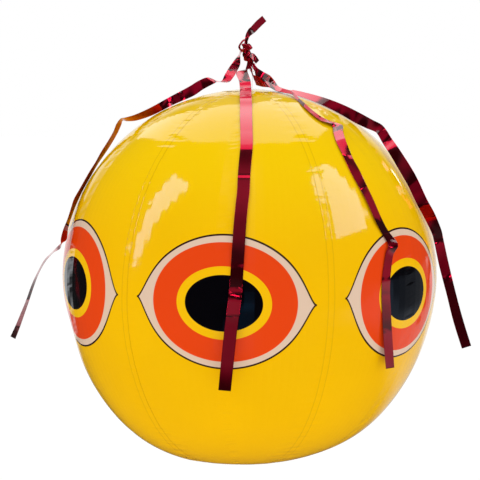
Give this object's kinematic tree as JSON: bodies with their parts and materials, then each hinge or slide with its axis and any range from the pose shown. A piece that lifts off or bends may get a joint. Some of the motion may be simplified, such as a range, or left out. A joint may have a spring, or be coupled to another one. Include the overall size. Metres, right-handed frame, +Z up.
{
  "type": "bird scare balloon",
  "caption": "Hanging inflatable ball with printed predator eyes and knotted foil streamers, a hang tab with an eyelet and a plugged air valve.",
  "frame": {"origin": "centre of the eyelet in the hang tab, straight above the ball's centre", "axes": "+Z up along the line the ball hangs on, -Y towards the camera of the picture, +X to the picture's right"},
  "size_m": [0.4813, 0.4063, 0.4809],
  "materials": {
    "yellow_film": "glossy welded PVC film",
    "clear_film": "clear soft PVC",
    "red_foil": "metallised red film"
  },
  "bodies": {
    "ball": {"gore_1": "yellow_film", "gore_2": "yellow_film", "gore_3": "yellow_film", "gore_4": "yellow_film", "gore_5": "yellow_film", "gore_6": "yellow_film", "top_patch": "yellow_film", "bottom_patch": "yellow_film", "hang_tab": "clear_film", "valve_flange": "clear_film", "ribbon_knot": "red_foil"},
    "stem": {"valve_stem": "clear_film", "plug_strap": "clear_film"},
    "plug": {"valve_plug": "clear_film"},
    "flap": {"check_flap": "clear_film"},
    "tail": {"ribbon_tail": "red_foil"},
    "stub": {"ribbon_stub": "red_foil"},
    "left_streamer": {"streamer_left": "red_foil"},
    "centre_streamer": {"streamer_centre": "red_foil"},
    "inner_right_streamer": {"streamer_inner_right": "red_foil"},
    "outer_right_streamer": {"streamer_outer_right": "red_foil"}
  },
  "joints": [
    {"name": "stem_slide", "type": "slide", "parent": "ball", "child": "stem", "axis": [0, 0, -1], "range_m": [0, 0.009]},
    {"name": "plug_slide", "type": "slide", "parent": "stem", "child": "plug", "axis": [0, 0, -1], "range_m": [0, 0.012], "deforming": ["plug_strap"]},
    {"name": "flap_hinge", "type": "hinge", "parent": "stem", "child": "flap", "pos_m": [-0.0045, 0, -0.4047], "axis": [0, -1, 0], "range_deg": [0, 70]},
    {"name": "tail_hinge", "type": "hinge", "parent": "ball", "child": "tail", "pos_m": [-0.0073, -0.001, 0.0285], "axis": [-0.5972, 0.7923, 0.125], "range_deg": [-35, 35]},
    {"name": "stub_hinge", "type": "hinge", "parent": "ball", "child": "stub", "pos_m": [-0.002, -0.002, 0.0165], "axis": [0, -1, 0], "range_deg": [0, 60]},
    {"name": "left_streamer_hinge", "type": "hinge", "parent": "ball", "child": "left_streamer", "pos_m": [-0.0115, -0.001, 0.0205], "axis": [0, 1, 0], "range_deg": [0, 70]},
    {"name": "centre_streamer_hinge", "type": "hinge", "parent": "ball", "child": "centre_streamer", "pos_m": [-0.0045, -0.007, 0.0015], "axis": [-1, 0, 0], "range_deg": [0, 70]},
    {"name": "inner_right_streamer_hinge", "type": "hinge", "parent": "ball", "child": "inner_right_streamer", "pos_m": [0.0015, -0.0095, 0], "axis": [-0.7312, -0.6822, 0], "range_deg": [0, 60]},
    {"name": "outer_right_streamer_hinge", "type": "hinge", "parent": "ball", "child": "outer_right_streamer", "pos_m": [0.0042, -0.003, 0.0007], "axis": [-0.208, -0.9781, 0], "range_deg": [0, 70]}
  ]
}
